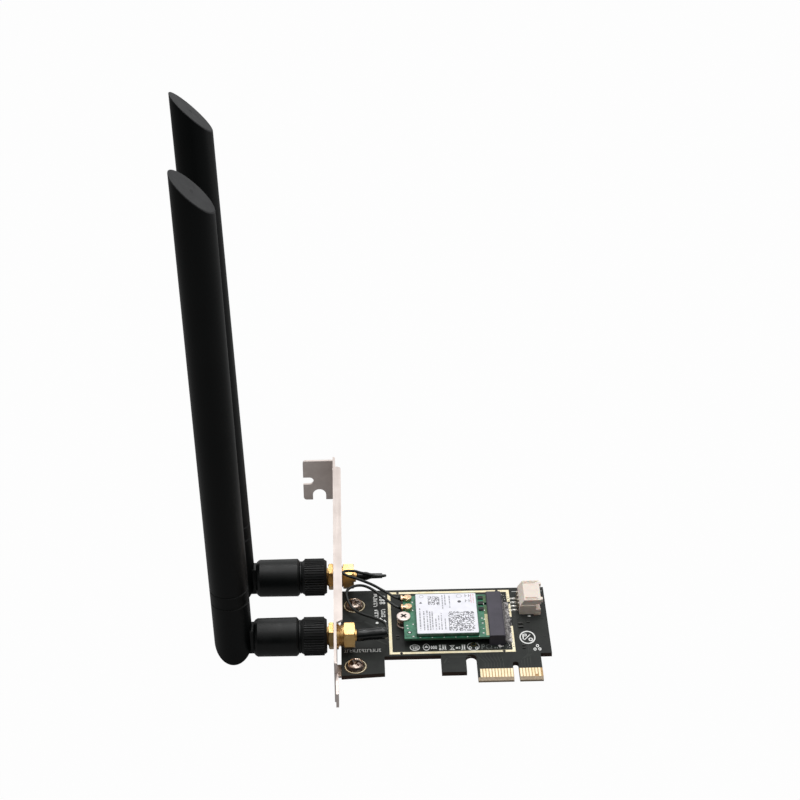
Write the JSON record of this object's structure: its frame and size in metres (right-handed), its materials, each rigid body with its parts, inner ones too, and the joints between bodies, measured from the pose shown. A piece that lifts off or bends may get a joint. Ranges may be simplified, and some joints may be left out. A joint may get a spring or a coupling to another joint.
{
  "type": "expansion card",
  "caption": "Slot-in radio card: circuit board on a metal bracket, plug-in radio module, coax pigtails and tilting rod antennas on swivel knuckles.",
  "frame": {"origin": "centre line of the key notch, at the end of the edge contacts, halfway through the board's thickness", "axes": "+X away from the bracket along the slot, +Y from the edge contacts towards the bracket tab, +Z out of the component side"},
  "size_m": [0.119, 0.1201, 0.1795],
  "materials": {
    "board_black": "satin solder mask",
    "gold_plate": "bright gold plate",
    "bracket_steel": "bright nickel plated sheet",
    "screw_nickel": "nickel plated",
    "socket_plastic": "moulded",
    "solder_tin": "tin plated",
    "module_green": "green solder mask",
    "shield_tin": "drawn sheet",
    "label_white": "printed label",
    "chip_black": "moulded",
    "chip_ceramic": "ceramic with tinned ends",
    "header_ivory": "moulded",
    "jack_brass": "bright gold plate",
    "insulator_white": "turned",
    "sleeve_black": "shrunk tube",
    "coax_black": "extruded jacket",
    "antenna_black": "satin moulded"
  },
  "bodies": {
    "card": {"circuit_board": "board_black", "edge_contacts": "gold_plate", "guard_trace": "gold_plate", "screw_pads": "gold_plate", "bracket": "bracket_steel", "bracket_screws": "screw_nickel", "module_socket": "socket_plastic", "socket_contacts": "solder_tin", "module_standoff": "screw_nickel", "module_screw": "screw_nickel", "module_board": "module_green", "module_shield": "shield_tin", "module_label": "label_white", "module_jacks": "gold_plate", "module_chips": "chip_black", "module_contacts": "gold_plate", "cable_header": "header_ivory", "header_pins": "solder_tin", "board_components": "chip_ceramic", "front_jack": "jack_brass", "front_jack_insulator": "insulator_white", "front_jack_nut": "jack_brass", "front_lock_washer": "jack_brass", "front_shrink_sleeve": "sleeve_black", "front_coax": "coax_black", "front_plug": "gold_plate", "front_antenna_plug": "jack_brass", "rear_jack": "jack_brass", "rear_jack_insulator": "insulator_white", "rear_jack_nut": "jack_brass", "rear_lock_washer": "jack_brass", "rear_shrink_sleeve": "sleeve_black", "rear_coax": "coax_black", "rear_plug": "gold_plate", "rear_antenna_plug": "jack_brass"},
    "front_nut": {"front_coupling_nut": "antenna_black"},
    "front_swivel": {"front_swivel_sleeve": "antenna_black"},
    "front_whip": {"front_hinge_pin": "screw_nickel", "front_knuckle_base": "antenna_black", "front_collar_ring": "antenna_black", "front_radome": "antenna_black", "front_radiator": "jack_brass"},
    "rear_nut": {"rear_coupling_nut": "antenna_black"},
    "rear_swivel": {"rear_swivel_sleeve": "antenna_black"},
    "rear_whip": {"rear_hinge_pin": "screw_nickel", "rear_knuckle_base": "antenna_black", "rear_collar_ring": "antenna_black", "rear_radome": "antenna_black", "rear_radiator": "jack_brass"}
  },
  "joints": [
    {"name": "front_nut_turn", "type": "hinge", "parent": "card", "child": "front_nut", "pos_m": [-0.0654, 0.0167, 0.00661], "axis": [-1, 0, 0], "continuous": true},
    {"name": "front_antenna_swivel", "type": "hinge", "parent": "card", "child": "front_swivel", "pos_m": [-0.0784, 0.0167, 0.00661], "axis": [-1, 0, 0], "range_deg": [-125, 11]},
    {"name": "front_antenna_tilt", "type": "hinge", "parent": "front_swivel", "child": "front_whip", "pos_m": [-0.0923, 0.0167, 0.00661], "axis": [0, -0.9998, 0.0192], "range_deg": [-1.5, 88.5]},
    {"name": "rear_nut_turn", "type": "hinge", "parent": "card", "child": "rear_nut", "pos_m": [-0.0654, 0.04755, 0.00661], "axis": [-1, 0, 0], "continuous": true},
    {"name": "rear_antenna_swivel", "type": "hinge", "parent": "card", "child": "rear_swivel", "pos_m": [-0.0784, 0.04755, 0.00661], "axis": [-1, 0, 0], "range_deg": [-11, 105]},
    {"name": "rear_antenna_tilt", "type": "hinge", "parent": "rear_swivel", "child": "rear_whip", "pos_m": [-0.0923, 0.04755, 0.00661], "axis": [0, -0.9833, 0.1822], "range_deg": [-2.7, 87.3]}
  ]
}
